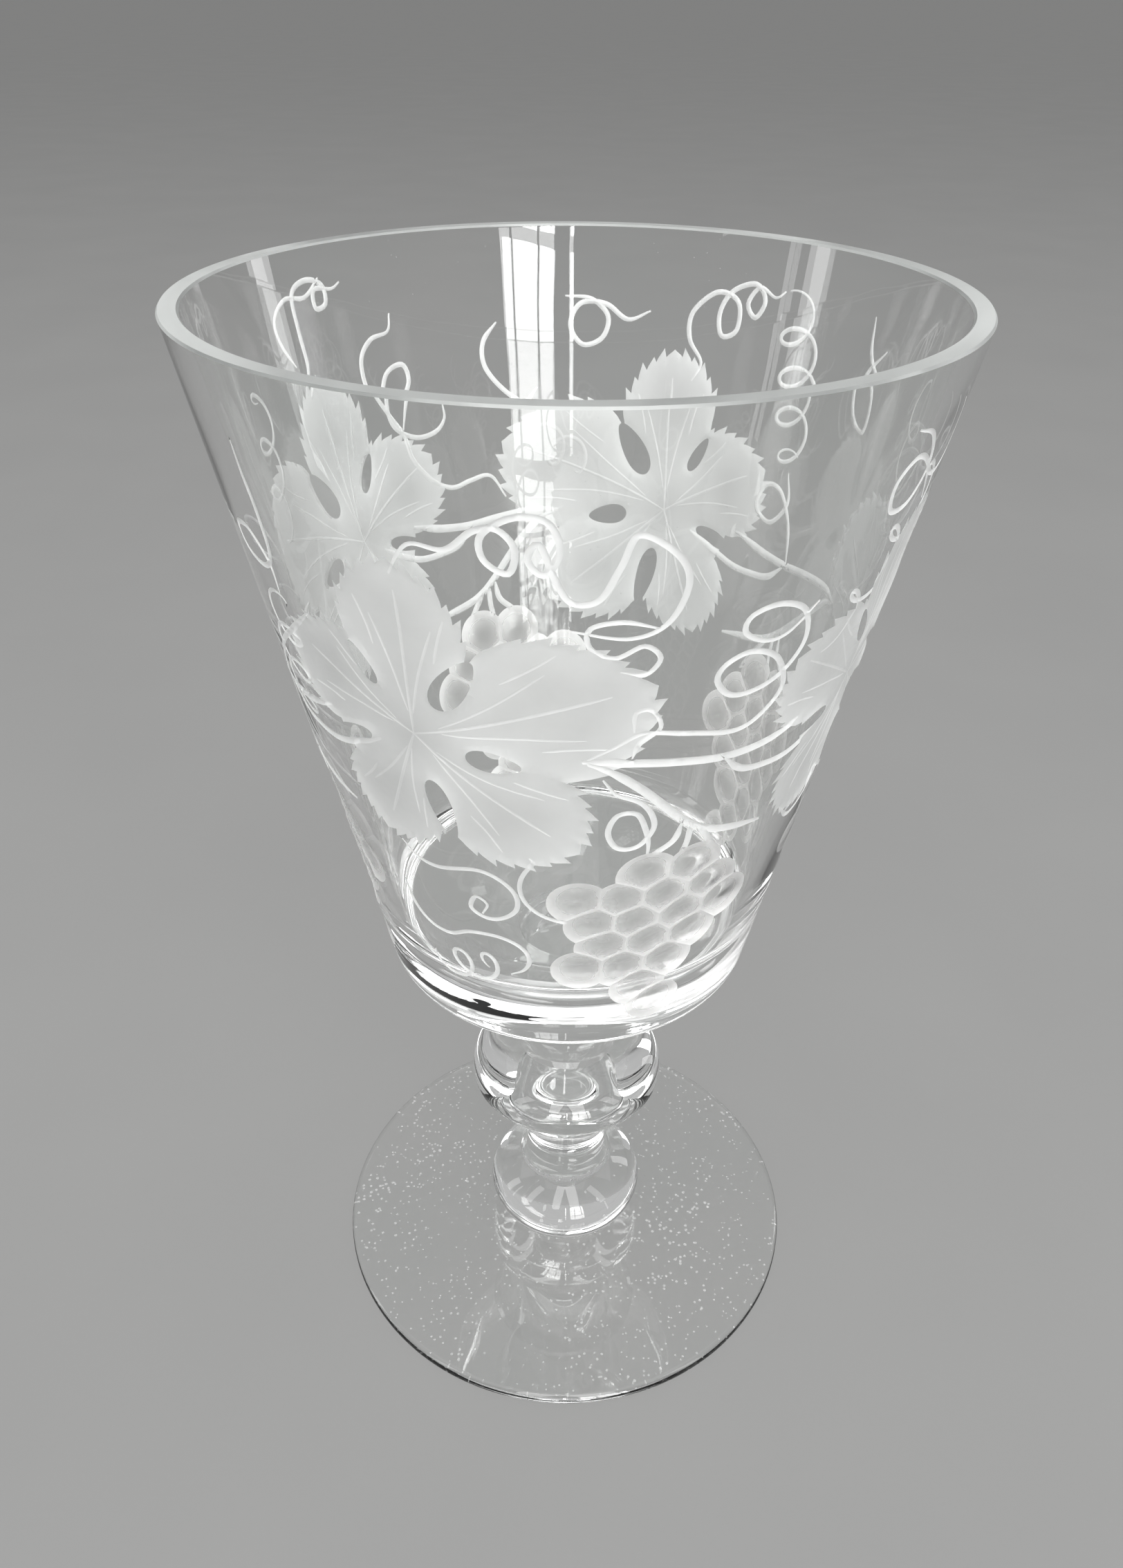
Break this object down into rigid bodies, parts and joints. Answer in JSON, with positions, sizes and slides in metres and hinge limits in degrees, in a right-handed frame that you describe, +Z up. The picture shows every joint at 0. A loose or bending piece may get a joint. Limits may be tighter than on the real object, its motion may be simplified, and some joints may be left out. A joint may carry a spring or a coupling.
{
  "type": "stemmed goblet",
  "caption": "Tall clear stemmed goblet with a flared flat-rimmed bowl on a thick solid base, a two-knop stem and a flat round foot, engraved with grapevine.",
  "frame": {"origin": "centre of the foot's flat underside, on the surface that the goblet stands on", "axes": "+Z up along the goblet's axis of revolution; -Y towards the side with the large vine leaf and the hanging grapes"},
  "size_m": [0.1398, 0.1398, 0.244],
  "materials": {
    "foot_glass": "clear colourless lead crystal, fire polished, with fine shelf dust and rubbing marks",
    "stem_glass": "clear colourless lead crystal, highly polished",
    "bowl_glass": "clear colourless lead crystal, ground satin rim, matt wheel-engraved decoration"
  },
  "bodies": {
    "root": {"foot": "foot_glass", "lower_knop": "stem_glass", "lower_neck": "stem_glass", "upper_knop": "stem_glass", "upper_neck": "stem_glass", "bowl": "bowl_glass"}
  },
  "joints": []
}
